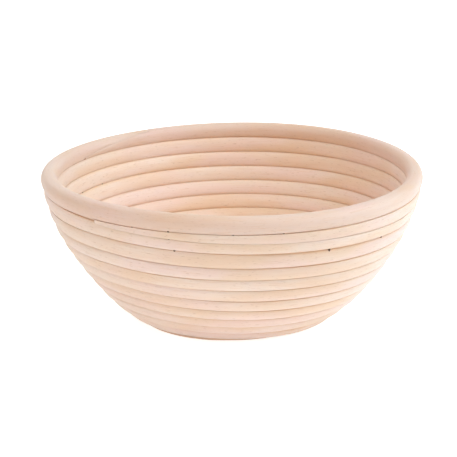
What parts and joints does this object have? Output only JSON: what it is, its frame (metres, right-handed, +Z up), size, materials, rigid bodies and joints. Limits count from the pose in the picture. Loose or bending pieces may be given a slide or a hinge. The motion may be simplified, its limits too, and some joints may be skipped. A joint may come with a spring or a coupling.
{
  "type": "rattan proofing basket",
  "caption": "Round bowl-shaped bread proofing basket wound from rattan cane in a rising spiral, with a thicker rim cane and wire pins between the courses.",
  "frame": {"origin": "on the resting face, under the middle of the base", "axes": "+Z up through the middle of the bowl, -Y towards the front of the picture, +X to its right"},
  "size_m": [0.2194, 0.2194, 0.087],
  "materials": {
    "rattan_cane": "natural rattan core, sanded, unvarnished, matt",
    "rim_rattan_cane": "natural rattan core, thicker, sanded smooth, matt",
    "pin_wire": "bare steel wire, dulled and slightly browned"
  },
  "bodies": {
    "root": {"base_cane": "rattan_cane", "course_pin_10_1": "pin_wire", "course_pin_10_2": "pin_wire", "course_pin_10_3": "pin_wire", "course_pin_11_1": "pin_wire", "course_pin_11_2": "pin_wire", "course_pin_11_3": "pin_wire", "course_pin_12_1": "pin_wire", "course_pin_12_2": "pin_wire", "course_pin_12_3": "pin_wire", "course_pin_1_1": "pin_wire", "course_pin_1_2": "pin_wire", "course_pin_1_3": "pin_wire", "course_pin_2_1": "pin_wire", "course_pin_2_2": "pin_wire", "course_pin_2_3": "pin_wire", "course_pin_3_1": "pin_wire", "course_pin_3_2": "pin_wire", "course_pin_3_3": "pin_wire", "course_pin_4_1": "pin_wire", "course_pin_4_2": "pin_wire", "course_pin_4_3": "pin_wire", "course_pin_5_1": "pin_wire", "course_pin_5_2": "pin_wire", "course_pin_5_3": "pin_wire", "course_pin_6_1": "pin_wire", "course_pin_6_2": "pin_wire", "course_pin_6_3": "pin_wire", "course_pin_7_1": "pin_wire", "course_pin_7_2": "pin_wire", "course_pin_7_3": "pin_wire", "course_pin_8_1": "pin_wire", "course_pin_8_2": "pin_wire", "course_pin_8_3": "pin_wire", "course_pin_9_1": "pin_wire", "course_pin_9_2": "pin_wire", "course_pin_9_3": "pin_wire", "front_pin_1": "pin_wire", "front_pin_2": "pin_wire", "front_pin_3": "pin_wire", "inner_pin_1": "pin_wire", "inner_pin_2": "pin_wire", "inner_rim_pin_1": "pin_wire", "lower_wall_cane": "rattan_cane", "rim_cane": "rim_rattan_cane", "rim_pin_1": "pin_wire", "rim_pin_2": "pin_wire", "rim_pin_3": "pin_wire", "rim_pin_4": "pin_wire", "rim_pin_5": "pin_wire", "rim_pin_6": "pin_wire", "rim_pin_7": "pin_wire", "upper_wall_cane": "rattan_cane"}
  },
  "joints": []
}
